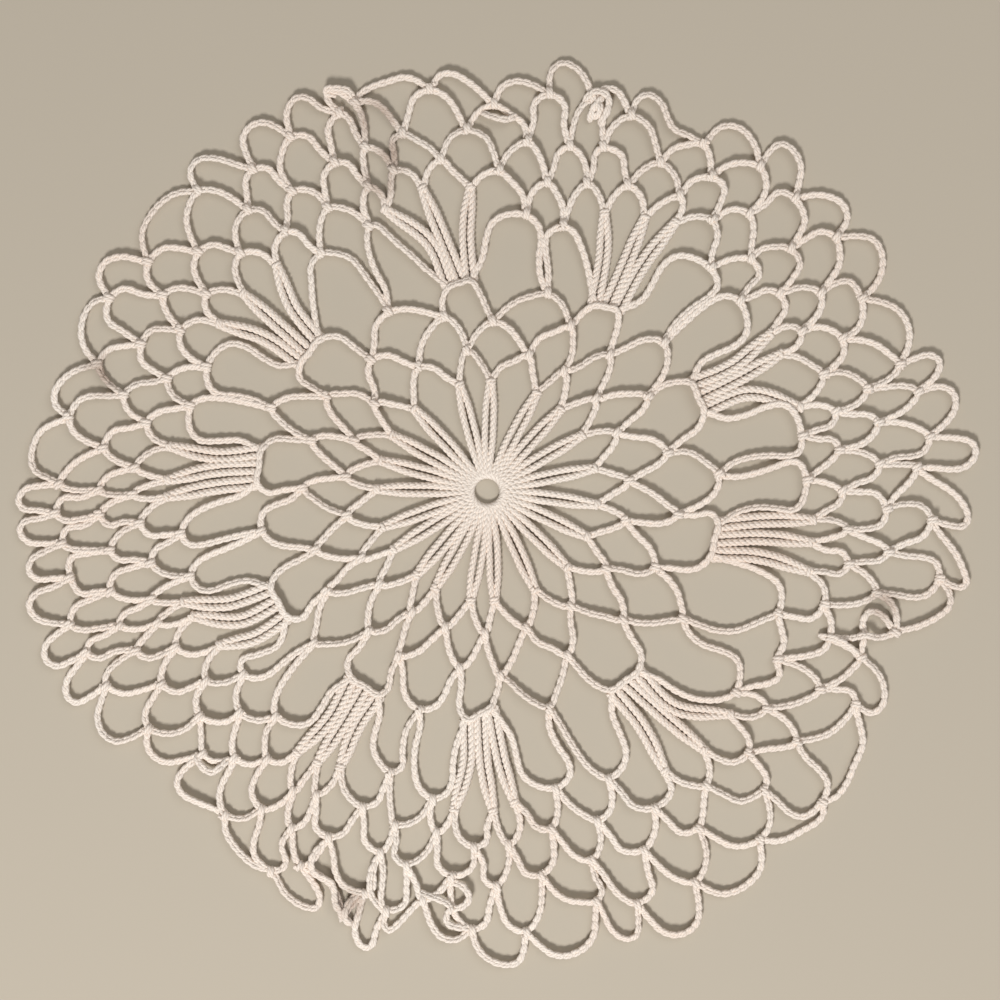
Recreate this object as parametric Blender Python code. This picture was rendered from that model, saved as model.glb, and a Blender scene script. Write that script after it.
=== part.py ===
"""A round crocheted lace doily, laid flat: one openwork solid.

The lace is a net of cotton strands worked in rounds out from a small centre ring:
round 1 is twenty pairs of tall stitches, rounds 2 to 4 are twenty chain loops each,
round 5 is ten fans of three stitch pairs with two big arches between them, and
rounds 6 to 9 are fifty chain loops each. The top of every loop is caught by the
knot between two loops of the next round. The cloth is soft, so no loop is quite
like its neighbour.

A bearing is in degrees clockwise from +Y, and a reach is in millimetres from the
centre ring. The mesh is in metres, its underside on the XY plane, and its footprint
centred on the origin.
"""

import math
import random
from dataclasses import dataclass

import bmesh
import bpy
from mathutils import Vector
from mathutils.geometry import intersect_line_line_2d, intersect_point_line
from mathutils.kdtree import KDTree

MM = 0.001

# Strand sizes, in millimetres.
CHAIN_HALF = 1.05
PAIR_HALF = 1.9
PAIR_TIP_HALF = 1.3
DISC_HALF = 2.3
LEAST_HALF = 0.6
STRAND_HEIGHT = 1.9
KNOT_HEIGHT = 2.3
GROOVE_HEIGHT = 1.2
CLEARANCE = 0.5
STATION_PITCH = 4.8

# Reaches of the rounds that lie evenly, in millimetres, and the length of a fan's root.
EYE_REACH = 4.4
DISC_REACH = 15.5
PAIR_TIP_REACH = 29.5
ROUND_2_REACH = 38.0
FAN_ROOT = 8.6

# The pairs stand evenly round the centre ring and lean over to where round 3 draws them.
FIRST_PAIR = 2
EYE_LEAN = 0.3
DISC_LEAN = 0.8

# Shares of the way from round 5 to the rim knots at which the tops of two rounds lie.
ROUND_6_SHARE = 0.30
ROUND_7_SHARE = 0.62

# How a strand leaves its knots, in degrees, and its handles as shares of its length.
BELLY = 31
PEAK_DROP = 8
UNEVEN = 5
KNOT_GAP = 52
FAN_GAP = 34
SPREAD_TIMES = 80
HANDLE = 0.42
EDGE_HANDLE = 0.50
CURVE_SLACK = 1.1

# How strands that lie too close are eased apart. A knot gives way less than a strand does.
EASE_TIMES = 24
EASE_SHARE = 0.25
KNOT_GIVE = 0.4

# A corner of the cloth reaches no further than a mitre of this sine, nor than this share
# of the run towards a plain station or a knot.
MITRE_SINE = 0.35
STATION_ROOM = 0.75
KNOT_ROOM = 0.45

SECTIONS = 10
LOOPS = 5 * SECTIONS
PAIRS = 2 * SECTIONS
DISC_STATIONS = 2 * PAIRS

# Round 3, a row for each section: (bearing, reach) of the knots on either side of its fan.
# knot 1, knot 2
ROUND_3 = (
    ((345.5, 48.5), (2, 45.5)),
    ((27, 49.5), (42, 49)),
    ((59.5, 50), (78, 49.5)),
    ((97, 51.5), (114.5, 49.5)),
    ((133.5, 50), (154, 49)),
    ((176, 49.5), (188.5, 48)),
    ((208, 50), (220, 49)),
    ((238, 50.5), (251, 48.5)),
    ((271, 49.5), (286, 49)),
    ((300.5, 50), (318.5, 47)),
)

# Round 4, a row for each section: where its fan stands and its plain loop's top.
# fan bearing, fan reach, plain bearing, plain reach
ROUND_4 = (
    ((352, 57.0), (17, 55.5)),
    ((33, 60.5), (50, 62.0)),
    ((66, 62.0), (86, 62.0)),
    ((102, 62.5), (123, 62.5)),
    ((144, 63.0), (164, 60.5)),
    ((181, 61.5), (197, 61.5)),
    ((212, 62.0), (229, 62.5)),
    ((242, 63.5), (260, 61.5)),
    ((276, 61.5), (291, 62.0)),
    ((308, 60.5), (331, 55.0)),
)

# Round 5, a row for each section: (bearing, reach) of its three pair tips and two arches.
# tip 1, tip 2, tip 3, arch 1, arch 2
ROUND_5 = (
    ((342, 79), (348, 83), (357, 82), (8, 75), (16, 74)),
    ((23, 81), (30, 85), (35, 88), (45, 85), (53, 85)),
    ((61, 87), (65, 87), (75, 87), (80, 86), (88, 86)),
    ((95, 88), (99, 88), (104, 89), (113, 85), (129, 86)),
    ((132.5, 88.5), (140, 91), (148, 89), (157, 84), (167, 82)),
    ((175, 84), (179, 86), (186, 86), (190, 84), (199, 80)),
    ((208, 84), (212, 86), (216, 87), (223, 83), (233, 82)),
    ((240, 83), (247, 86), (250, 87), (254, 83), (262, 83)),
    ((269, 86), (272, 86), (278, 86), (286, 83), (294, 83)),
    ((302, 85), (309, 84), (317, 83), (325, 78), (336, 78)),
)

# Round 8, a row for each section: (bearing, reach) of its five rim knots.
# knot 1, knot 2, knot 3, knot 4, knot 5
RIM = (
    ((341, 110), (352, 109), (1, 104), (9, 108), (15, 109)),
    ((21, 108), (32, 110), (39, 113), (46, 114), (54, 116)),
    ((63, 113), (73, 116), (77, 119), (83, 120), (87, 116)),
    ((94, 119), (101, 124), (109, 116), (114, 110), (121, 114)),
    ((133, 123), (142, 119), (152, 119), (160, 118), (165, 114)),
    ((175, 119), (182, 118), (189, 111), (193, 116), (197, 113)),
    ((208, 114), (210, 118), (219, 112), (228, 105), (235, 111)),
    ((243, 115), (248, 116), (252, 117), (258, 114), (263, 115)),
    ((267, 116), (271, 115), (280, 114), (288, 110), (297, 114)),
    ((304, 110), (316, 112), (324, 107), (331, 109), (338, 109)),
)

# Round 9, a row for each section: (bearing, reach) of the tops of its five edge loops.
# loop 1, loop 2, loop 3, loop 4, loop 5
EDGE = (
    ((338, 116), (344, 114), (355, 112), (4, 111), (10, 117)),
    ((18, 114), (22, 115), (35, 119), (42, 124), (51, 124)),
    ((59, 124), (69, 122), (74, 127), (78, 129), (86, 132)),
    ((93, 130), (101, 132), (104, 128), (107, 107.5), (118, 122)),
    ((129, 125), (135, 126), (148, 128), (156, 130), (163, 127)),
    ((168, 127), (178, 128), (186, 121), (192, 121), (195.5, 127.5)),
    ((200.5, 123), (205.5, 122.5), (214, 119), (225, 116), (232, 115)),
    ((238, 123), (244, 126), (249, 128), (256, 127), (260, 126)),
    ((265, 127), (269, 127), (274, 124), (283, 119), (294, 119)),
    ((301, 120), (311, 117), (319, 119), (327, 117), (334, 118)),
)

COTTON = (0.80, 0.74, 0.66, 1.0)
ROUGHNESS = 0.85


def place(point):
    """A (bearing, reach) pair as a point in plan, in millimetres."""
    bearing, reach = point
    turn = math.radians(bearing)
    return Vector((reach * math.sin(turn), reach * math.cos(turn)))


def between(a, b, share):
    """The (bearing, reach) pair at a share of the short way round from a to b."""
    swing = (b[0] - a[0] + 180) % 360 - 180
    return (a[0] + swing * share, a[1] + (b[1] - a[1]) * share)


def rotated(items):
    """The same items from the second on, with the first at the end."""
    return items[1:] + items[:1]


def heading(a, b):
    return math.atan2(b.y - a.y, b.x - a.x)


@dataclass
class Strand:
    """A strand from one knot to another, with the angle at which it leaves each of them."""

    start: int
    end: int
    leave: float
    arrive: float
    handle: float
    steps: int


class Net:
    """Stations in plan, joined by straight runs; a knot is a station of three runs or more."""

    def __init__(self):
        self.at = []
        self.half = []
        self.links = []
        self.strands = []
        self.tree = None

    def station(self, at, half=CHAIN_HALF):
        self.at.append(at)
        self.half.append(half)
        self.links.append([])
        return len(self.at) - 1

    def link(self, a, b):
        self.links[a].append(b)
        self.links[b].append(a)

    def unlink(self, a, b):
        self.links[a].remove(b)
        self.links[b].remove(a)

    def straight(self, a, b, steps=1):
        """Notes a straight strand, laid in this many runs."""
        there = heading(self.at[a], self.at[b])
        self.strands.append(Strand(a, b, there, there + math.pi, HANDLE, steps))

    def loop_half(self, valley, peak, other_valley, noise, handle=HANDLE):
        """Notes one side of a loop: it bellies out of its valley and comes level into its peak."""
        foot, top, far = self.at[valley], self.at[peak], self.at[other_valley]
        side = 1 if (top - foot).cross(far - foot) < 0 else -1
        belly = math.radians(BELLY + noise.uniform(-UNEVEN, UNEVEN))
        drop = math.radians(PEAK_DROP + noise.uniform(-UNEVEN, UNEVEN))
        leave = heading(foot, top) + side * belly
        arrive = heading(far, foot) + side * drop
        steps = max(2, round((top - foot).length * CURVE_SLACK / STATION_PITCH))
        self.strands.append(Strand(valley, peak, leave, arrive, handle, steps))

    def loop(self, left, peak, right, noise, handle=HANDLE):
        self.loop_half(left, peak, right, noise, handle)
        self.loop_half(right, peak, left, noise, handle)

    def grow_tree(self):
        """Readies the search for stations that lie near a point."""
        self.tree = KDTree(len(self.at))
        for here, at in enumerate(self.at):
            self.tree.insert(at.to_3d(), here)
        self.tree.balance()

    def near(self, at):
        return [here for _, here, _ in self.tree.find_range(at.to_3d(), 2 * STATION_PITCH)]


def spread_knots(net, roots):
    """Turns the strands that leave a knot apart, closer at the roots of the fans."""
    ends = {}
    for strand in net.strands:
        chord = heading(net.at[strand.start], net.at[strand.end]) % math.tau
        back = (chord + math.pi) % math.tau
        ends.setdefault(strand.start, []).append((chord, strand.leave, strand, "leave"))
        ends.setdefault(strand.end, []).append((back, strand.arrive, strand, "arrive"))
    for knot, at_knot in ends.items():
        at_knot.sort(key=lambda end: end[:2])
        turns = [chord + (turn - chord + math.pi) % math.tau - math.pi for chord, turn, *_ in at_knot]
        if len(turns) > 2:
            part_turns(turns, math.radians(FAN_GAP if knot in roots else KNOT_GAP))
        for (_, _, strand, end), turn in zip(at_knot, turns):
            setattr(strand, end, turn)


def part_turns(turns, gap):
    """Pushes neighbouring directions round a knot apart until the gap is left between them."""
    for _ in range(SPREAD_TIMES):
        for here in range(len(turns)):
            after = (here + 1) % len(turns)
            lap = math.tau if after == 0 else 0
            short = gap - (turns[after] + lap - turns[here])
            if short > 0:
                turns[here] -= short / 2
                turns[after] += short / 2


def lay_strands(net):
    """Lays each strand as a smooth curve, in straight runs from station to station."""
    for strand in net.strands:
        start, end = net.at[strand.start], net.at[strand.end]
        reach = (end - start).length * strand.handle
        out = start + Vector((math.cos(strand.leave), math.sin(strand.leave))) * reach
        back = end + Vector((math.cos(strand.arrive), math.sin(strand.arrive))) * reach
        last = strand.start
        for step in range(1, strand.steps):
            t = step / strand.steps
            s = 1 - t
            at = start * s**3 + out * 3 * s * s * t + back * 3 * s * t * t + end * t**3
            half = net.half[strand.start] * s + net.half[strand.end] * t
            here = net.station(at, half)
            net.link(last, here)
            last = here
        net.link(last, strand.end)


def fuse_crossings(net):
    """Joins strands that cross, where a loop has folded over its neighbours."""
    net.grow_tree()
    runs = [(a, b) for a, links in enumerate(net.links) for b in links if a < b]
    for a, b in runs:
        for near in net.near((net.at[a] + net.at[b]) / 2):
            for far in list(net.links[near]):
                if b in net.links[a] and not {a, b} & {near, far}:
                    fuse_runs(net, (a, b), (near, far))


def fuse_runs(net, one, other):
    """Joins two runs by a knot where they cross, if they do."""
    crossing = intersect_line_line_2d(*(net.at[end] for end in one + other))
    if crossing is None:
        return
    knot = net.station(crossing)
    for a, b in (one, other):
        net.unlink(a, b)
        net.link(a, knot)
        net.link(knot, b)


def strangers(net, here):
    """Each run near a station that isn't its own: (the run's ends, its nearest point, share)."""
    at = net.at[here]
    runs = {(min(a, b), max(a, b)) for a in net.near(at) for b in net.links[a]}
    for run in sorted(runs):
        start, end = (net.at[station] for station in run)
        share = min(max(intersect_point_line(at, start, end)[1], 0), 1)
        touched = {0: run[0], 1: run[1]}.get(share)
        if here not in run and touched not in net.links[here]:
            yield run, start.lerp(end, share), share


def ease_apart(net):
    """Moves strands that lie too close a little way apart. The disc stays as it is."""
    for _ in range(EASE_TIMES):
        net.grow_tree()
        moves = [Vector((0, 0)) for _ in net.at]
        for here in range(DISC_STATIONS, len(net.at)):
            for (a, b), foot, share in strangers(net, here):
                away = net.at[here] - foot
                other_half = net.half[a] * (1 - share) + net.half[b] * share
                short = net.half[here] + other_half + CLEARANCE - away.length
                if short > 0:
                    push = away.normalized() * short * EASE_SHARE
                    moves[here] += push
                    moves[a] -= push * (1 - share)
                    moves[b] -= push * share
        for here in range(DISC_STATIONS, len(net.at)):
            give = KNOT_GIVE if len(net.links[here]) > 2 else 1
            net.at[here] += moves[here] * give


def narrow_strands(net):
    """Narrows a strand where its neighbours still leave it too little room."""
    net.grow_tree()
    room = list(net.half)
    for here in range(DISC_STATIONS, len(net.at)):
        for run, foot, _ in strangers(net, here):
            space = ((net.at[here] - foot).length - CLEARANCE / 2) / 2
            for station in (here, *run):
                room[station] = min(room[station], max(space, LEAST_HALF))
    net.half = room


def ring_places(knots, lean, reach):
    """Points round the centre, evenly turned but leaning by a share towards round 3's knots."""
    even = [(360 * i / PAIRS + FIRST_PAIR, reach) for i in range(PAIRS)]
    return [place((between(a, b, lean)[0], reach)) for a, b in zip(even, knots)]


def inner_rounds(net, noise):
    """The centre ring, round 1's pairs and rounds 2 to 4. Returns round 4's fan roots and tops."""
    knots = rotated([point for row in ROUND_3 for point in row])
    tops = [point for row in ROUND_4 for point in row]
    eye = [net.station(at) for at in ring_places(knots, EYE_LEAN, EYE_REACH)]
    disc = [net.station(at, DISC_HALF) for at in ring_places(knots, DISC_LEAN, DISC_REACH)]
    tips = [net.station(place((b, PAIR_TIP_REACH)), PAIR_TIP_HALF) for b, _ in knots]
    second = [net.station(place((b, ROUND_2_REACH))) for b, _ in tops]
    third = [net.station(place(knot)) for knot in knots]
    for i in range(PAIRS):
        after = (i + 1) % PAIRS
        net.straight(eye[i], eye[after])
        net.straight(disc[i], disc[after])
        net.straight(eye[i], disc[i])
        net.straight(disc[i], tips[i], 2)
        net.loop(tips[i - 1], second[i], tips[i], noise)
        net.loop(second[i], third[i], second[after], noise)
    return fourth_round(net, third, tops, noise)


def fourth_round(net, third, tops, noise):
    """Round 4: every other loop is caught by a fan's root, a bar that three pairs stand on."""
    fans, plains = [], []
    for i, top in enumerate(tops):
        at = place(top)
        left, right = third[i - 1], third[i]
        if i % 2:
            plains.append(net.station(at))
            net.loop(left, plains[-1], right, noise)
            continue
        along = Vector((at.y, -at.x)).normalized() * FAN_ROOT / 2
        root = [net.station(at + along * side, PAIR_HALF) for side in (-1, 0, 1)]
        net.straight(root[0], root[1])
        net.straight(root[1], root[2])
        net.loop_half(left, root[0], right, noise)
        net.loop_half(right, root[2], left, noise)
        fans.append(root)
    return fans, plains


def fan_round(net, fans, plains, noise):
    """Round 5: three stitch pairs stand on each fan root, with a big arch on either side."""
    tops = []
    for i, row in enumerate(ROUND_5):
        knots = [net.station(place(point)) for point in row]
        for foot, tip in zip(fans[i], knots[:3]):
            net.half[tip] = PAIR_TIP_HALF
            net.straight(foot, tip, 2)
        net.loop(fans[i][2], knots[3], plains[i], noise)
        net.loop(plains[i], knots[4], fans[(i + 1) % SECTIONS][0], noise)
        tops += knots
    return tops


def loop_round(net, below, peaks, noise, handle=HANDLE):
    """A round of chain loops, each from one knot below to the next, over its own peak."""
    for left, right, peak in zip(below, rotated(below), peaks):
        net.loop(left, peak, right, noise, handle)


def outer_rounds(net, round_5, noise):
    """Rounds 6 to 9, fifty chain loops each, out to the free edge."""
    inner = [point for row in ROUND_5 for point in row]
    rim = [point for row in RIM for point in row]
    edge = [point for row in EDGE for point in row]
    count = range(LOOPS)
    mids = [between(inner[i], inner[(i + 1) % LOOPS], 0.5) for i in count]
    shoulders = [between(rim[i - 1], rim[i], 0.5) for i in count]
    sixth = [between(mids[i], rim[i], ROUND_6_SHARE) for i in count]
    seventh = [between(inner[i], shoulders[i], ROUND_7_SHARE) for i in count]
    round_6 = [net.station(place(point)) for point in sixth]
    round_7 = [net.station(place(point)) for point in seventh]
    round_8 = [net.station(place(point)) for point in rim]
    round_9 = [net.station(place(point)) for point in edge]
    loop_round(net, round_5, round_6, noise)
    loop_round(net, round_6, rotated(round_7), noise)
    loop_round(net, round_7, round_8, noise)
    loop_round(net, round_8, rotated(round_9), noise, EDGE_HANDLE)


def lace_net():
    """The whole net of strands in plan, each station's runs in counter-clockwise order."""
    net = Net()
    noise = random.Random(9)
    fans, plains = inner_rounds(net, noise)
    tops = fan_round(net, fans, plains, noise)
    outer_rounds(net, tops, noise)
    spread_knots(net, {knot for root in fans for knot in root})
    lay_strands(net)
    fuse_crossings(net)
    ease_apart(net)
    narrow_strands(net)
    for here, links in enumerate(net.links):
        links.sort(key=lambda there: heading(net.at[here], net.at[there]) % math.tau)
    return net


def corner(net, here, before, after):
    """The corner of the cloth between two runs that leave a station, counter-clockwise."""
    at = net.at[here]
    first = heading(at, net.at[before])
    half_turn = (heading(at, net.at[after]) - first) % math.tau / 2
    reach = net.half[here] / max(math.sin(half_turn), MITRE_SINE)
    for there in (before, after):
        room = STATION_ROOM if len(net.links[there]) == 2 else KNOT_ROOM
        run = (net.at[there] - at).length
        if math.cos(half_turn) > 0:
            reach = min(reach, room * run / math.cos(half_turn))
    turn = first + half_turn
    return at + Vector((math.cos(turn), math.sin(turn))) * reach


def lace_mesh(net):
    """Gives the net its cloth: a flat underside, and sides that rise to a ridge along each strand."""
    bm = bmesh.new()
    ridge, lower = [], {}
    for here, links in enumerate(net.links):
        height = KNOT_HEIGHT if len(links) > 2 else STRAND_HEIGHT
        ridge.append(bm.verts.new(Vector((*net.at[here], height)) * MM))
        for before, after in zip(links, rotated(links)):
            at = corner(net, here, before, after)
            lower[here, before] = bm.verts.new(Vector((*at, 0)) * MM)
    upper = dict(lower)
    close_disc(bm, lower, upper)
    for here, links in enumerate(net.links):
        if len(links) > 2:
            bm.faces.new([lower[here, there] for there in reversed(links)])
        for there in links:
            if here < there:
                skin_run(bm, net, (here, there), ridge, lower, upper)
    return bm


def skin_run(bm, net, run, ridge, lower, upper):
    """The cloth of one run: its underside and the two sides that meet at its ridge."""
    here, there = run
    left = (here, there), (there, next_to(net, there, here))
    right = (here, next_to(net, here, there)), (there, here)
    bm.faces.new([lower[left[0]], lower[left[1]], lower[right[1]], lower[right[0]]])
    bm.faces.new([ridge[here], ridge[there], upper[left[1]], upper[left[0]]])
    bm.faces.new([ridge[here], upper[right[0]], upper[right[1]], ridge[there]])


def next_to(net, here, there):
    """The neighbour of a station that comes just before another one, counter-clockwise."""
    links = net.links[here]
    return links[links.index(there) - 1]


def close_disc(bm, lower, upper):
    """Fills the gaps between the pairs' lower halves, where the stitches lie too close to part."""
    for here in range(PAIRS):
        after = (here + 1) % PAIRS
        ring = [here, after, after + PAIRS, here + PAIRS]
        keys = list(zip(ring, rotated(ring)))
        for key in keys:
            at = lower[key].co
            upper[key] = bm.verts.new((at.x, at.y, GROOVE_HEIGHT * MM))
        bm.faces.new([upper[key] for key in keys])
        bm.faces.new([lower[key] for key in reversed(keys)])


def centre_footprint(bm):
    """Moves the middle of the footprint to the origin."""
    xs = [vert.co.x for vert in bm.verts]
    ys = [vert.co.y for vert in bm.verts]
    middle = Vector((min(xs) + max(xs), min(ys) + max(ys), 0)) / 2
    bmesh.ops.translate(bm, vec=-middle, verts=bm.verts)


def cotton():
    material = bpy.data.materials.new("crochet cotton")
    material.use_nodes = True
    shader = material.node_tree.nodes["Principled BSDF"]
    shader.inputs["Base Color"].default_value = COTTON
    shader.inputs["Roughness"].default_value = ROUGHNESS
    material.diffuse_color = COTTON
    return material


def main():
    for obj in list(bpy.data.objects):
        bpy.data.objects.remove(obj, do_unlink=True)
    bm = lace_mesh(lace_net())
    centre_footprint(bm)
    bmesh.ops.triangulate(bm, faces=bm.faces)
    mesh = bpy.data.meshes.new("doily")
    bm.to_mesh(mesh)
    bm.free()
    mesh.materials.append(cotton())
    doily = bpy.data.objects.new("doily", mesh)
    bpy.context.scene.collection.objects.link(doily)


if __name__ == "__main__":
    main()
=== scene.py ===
"""A crocheted cotton doily lying flat, with every stitch worked in yarn.

The net of knots and strands is worked out here again from the tables that the part's own solid
has, moved to where the frame's ridges are, and pushed aside where the lace lies uneven. A chain
stitch is one turn of yarn: out along one leg, round the head, back along the other leg, and
forward underneath to the next. A tall stitch is a post of three twisted strands, and each knot is
a wrap of yarn round the loop that it catches. A bearing is in degrees clockwise from +Y, a reach
is in millimetres from the centre ring, and everything is in millimetres until it becomes a mesh.
"""

import math
import random
from bisect import bisect_right
from dataclasses import dataclass, field
from functools import lru_cache

import bmesh
import bpy
from bpy.props import FloatProperty, FloatVectorProperty, PointerProperty
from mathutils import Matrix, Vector
from mathutils.geometry import (
    box_fit_2d,
    convex_hull_2d,
    interpolate_bezier,
    intersect_line_line_2d,
    intersect_point_line,
)
from mathutils.kdtree import KDTree


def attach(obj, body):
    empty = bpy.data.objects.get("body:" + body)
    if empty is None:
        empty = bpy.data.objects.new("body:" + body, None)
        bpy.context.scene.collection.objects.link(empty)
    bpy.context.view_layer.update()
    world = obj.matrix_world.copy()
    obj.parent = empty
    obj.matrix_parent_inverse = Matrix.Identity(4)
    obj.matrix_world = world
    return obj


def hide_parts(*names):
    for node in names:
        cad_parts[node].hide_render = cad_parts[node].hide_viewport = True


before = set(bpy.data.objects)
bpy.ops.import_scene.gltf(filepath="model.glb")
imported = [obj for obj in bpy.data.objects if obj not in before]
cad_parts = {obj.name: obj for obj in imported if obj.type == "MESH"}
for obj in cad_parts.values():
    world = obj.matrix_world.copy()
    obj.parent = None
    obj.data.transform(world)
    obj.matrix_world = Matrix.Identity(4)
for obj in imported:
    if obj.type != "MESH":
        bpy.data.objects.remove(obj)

bl_info = {
    "name": "Crocheted Doily",
    "version": (1, 0, 0),
    "blender": (4, 5, 0),
    "location": "View3D > Sidebar > Doily",
    "description": "Works a crocheted lace doily in cotton yarn over its plain solid",
    "category": "Object",
}

MM = 0.001
UP = Vector((0, 0, 1))

# The net of strands, as the solid has it: sizes in millimetres, angles in degrees.
CHAIN_HALF = 1.05
PAIR_HALF = 1.9
PAIR_TIP_HALF = 1.3
DISC_HALF = 2.3
CLEARANCE = 0.5
STATION_PITCH = 4.8
EYE_REACH = 4.4
DISC_REACH = 15.5
PAIR_TIP_REACH = 29.5
ROUND_2_REACH = 38.0
FAN_ROOT = 8.6
FIRST_PAIR = 2
EYE_LEAN = 0.3
DISC_LEAN = 0.8
ROUND_6_SHARE = 0.30
ROUND_7_SHARE = 0.62
BELLY = 31
PEAK_DROP = 8
UNEVEN = 5
KNOT_GAP = 52
FAN_GAP = 34
SPREAD_TIMES = 80
HANDLE = 0.42
EDGE_HANDLE = 0.50
CURVE_SLACK = 1.1
EASE_TIMES = 24
EASE_SHARE = 0.25
KNOT_GIVE = 0.4
RIDGE_HEIGHT = 1.5

# One chain stitch of the yarn: shares of the pitch along, of the half width aside and of the
# half depth up. The next stitch starts where along is 1.
# along, aside, up
CHAIN_STITCH = (
    (0.00, 0.20, -0.20),
    (0.26, 0.48, 0.55),
    (0.58, 0.85, 0.90),
    (0.95, 1.00, 0.50),
    (1.26, 0.62, -0.10),
    (1.36, -0.10, -0.30),
    (1.16, -0.85, 0.10),
    (0.80, -0.97, 0.75),
    (0.42, -0.66, 0.80),
    (0.08, -0.25, 0.00),
    (0.24, 0.00, -0.65),
    (0.68, 0.10, -0.70),
)
HEAD = 0.36

# How the net is laid by hand. The sharp bends are smoothed in turn by two shares, out to
# TAUT_REACH a strand is drawn straight by a share that fades out at twice that reach, and a loop
# swells by a share of a strand's length, counting no more of it than FULL_LENGTH. BOW and TWIST
# are the most that a strand bends, as a share of its length, and a row of PUSHES is felt over
# PUSH_REACH.
SMOOTH_SHARES = (0.5, -0.55)
TAUT = 0.5
TAUT_REACH = 36.0
FULL = 0.06
FULL_LENGTH = 9.0
BOW = 0.05
TWIST = 0.045
PUSH_REACH = 8.0

# A chain: how wide and deep its yarn is laid, how high its middle lies, how much its stitches
# vary and roll over, and how far it rises along a loop, over a pair and over another strand.
CHAIN_WIDE = 0.46
CHAIN_DEEP = 0.3
CHAIN_HEIGHT = 0.98
FOLD_HEIGHT = 2.3
ROLL = math.radians(40)
SLACK = 0.08
LIFT = 0.9
BAR_LIFT = 0.7
OVER_LIFT = 2.0

# A tall stitch: its strands, how far they lie from its middle in the ring and in a fan, and the
# share of that which they lose over its last stretch. Two stand a little apart: from their foot
# they open out by one share of their length, and from another they close again to their tip.
POST_PLIES = 3
EYE_TWIST = 0.44
FAN_TWIST = 0.55
POST_END = 0.5
POST_END_FROM = 0.92
POST_STEP = 0.7
POST_HEIGHT = 1.17
EYE_APART = 0.45
FAN_APART = 1.12
PAIR_APART = 1.12
TIP_APART = 0.55
OPEN_BY = 0.45
CLOSE_FROM = 0.7

# The wraps of yarn: at a pair's tip, at a knot on a loop, and all the way round the centre ring.
TIP_STEP = -0.2
TIP_REACH = 0.95
TIP_RISE = 0.5
TIP_TURNS = 1.8
KNOT_OUT = 0.35
KNOT_UP = 0.28
KNOT_REACH = 1.1
KNOT_RISE = 0.65
KNOT_STEP = 0.4
KNOT_TURNS = 2.0
WRAP_PITCH = 0.8
WRAP_STEPS = 10
RING_REACH = 4.6
RING_DEEP = 0.8
RING_RISE = 0.45
RING_HEIGHT = 1.07
RING_TURNS = 44

# The steps of a smooth line between two of its points, and the sides of a yarn.
FINE = 10
SIDES = 5

# The cotton's plies, the painted shade in the grooves between them, its patches of paler and warmer
# thread, and its nap, in millimetres. A fibre is about 0.02 mm thick, too fine to show, so the nap
# is drawn this much coarser. The painted shade in a groove starts at GROOVE_PALE of the way to the
# thread's colour and is gone at GROOVE_EDGE of the way up a ply's crown.
PLIES = 3
PLY_TURN = 3.0
PLY_DEEP = 0.12
PLY_BUMP = 0.5
GROOVE_EDGE = 0.7
GROOVE_PALE = 0.25
PATCH = 45.0
PATCH_DETAIL = 3.0
PATCH_TINT = "#F3E6E0"
NAP = 0.25
NAP_DETAIL = 2.0
NAP_SHARE = 0.3

# How the cotton and the floor's paper take light.
COTTON_ROUGH = 0.85
COTTON_SHINE = 0.3
SHEEN = 0.2
SHEEN_ROUGH = 0.5
PAPER_ROUGH = 0.9
PAPER_SHINE = 0.2

# Spots of painted shade, where strands lying in shade are greyed: the bearing and reach of a
# place, and how far it spreads.
SHADE_SPOT_TINT = "#BFB3AB"
SHADE_SPOTS = (
    (343.5, 104.5, 10),
    (344.5, 94, 9),
    (341, 88, 8),
    (198.5, 117, 7),
    (287, 108, 9),
    (106, 111, 7),
)

# The stage: how high the camera hangs and how far aside, the width of its sensor and its place in
# metres, each light's place, width and power, and the room's colour and strength.
CAMERA_HIGH = 0.5
CAMERA_ASIDE = Vector((3.5, -2.4))
SENSOR = 36
KEY_LIGHT = (Vector((-0.25, -0.8, 0.95)), 0.28, 13)
FILL_LIGHT = (Vector((0.6, 0.5, 1.0)), 0.9, 4)
ROOM = "#F2EFEA"
ROOM_STRENGTH = 0.28

# The random draws start here for the net and for the centre, and at its first section for each
# outer piece.
NET_SEED = 9
CENTRE_SEED = 3

SECTIONS = 10
LOOPS = 5 * SECTIONS
PAIRS = 2 * SECTIONS
DISC_STATIONS = 2 * PAIRS

# Round 3, a row for each section: (bearing, reach) of the knots on either side of its fan.
# knot 1, knot 2
ROUND_3 = (
    ((345.5, 48.5), (2, 45.5)),
    ((27, 49.5), (42, 49)),
    ((59.5, 50), (78, 49.5)),
    ((97, 51.5), (114.5, 49.5)),
    ((133.5, 50), (154, 49)),
    ((176, 49.5), (188.5, 48)),
    ((208, 50), (220, 49)),
    ((238, 50.5), (251, 48.5)),
    ((271, 49.5), (286, 49)),
    ((300.5, 50), (318.5, 47)),
)

# Round 4, a row for each section: where its fan stands and its plain loop's top.
# fan bearing, fan reach, plain bearing, plain reach
ROUND_4 = (
    ((352, 57.0), (17, 55.5)),
    ((33, 60.5), (50, 62.0)),
    ((66, 62.0), (86, 62.0)),
    ((102, 62.5), (123, 62.5)),
    ((144, 63.0), (164, 60.5)),
    ((181, 61.5), (197, 61.5)),
    ((212, 62.0), (229, 62.5)),
    ((242, 63.5), (260, 61.5)),
    ((276, 61.5), (291, 62.0)),
    ((308, 60.5), (331, 55.0)),
)

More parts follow.
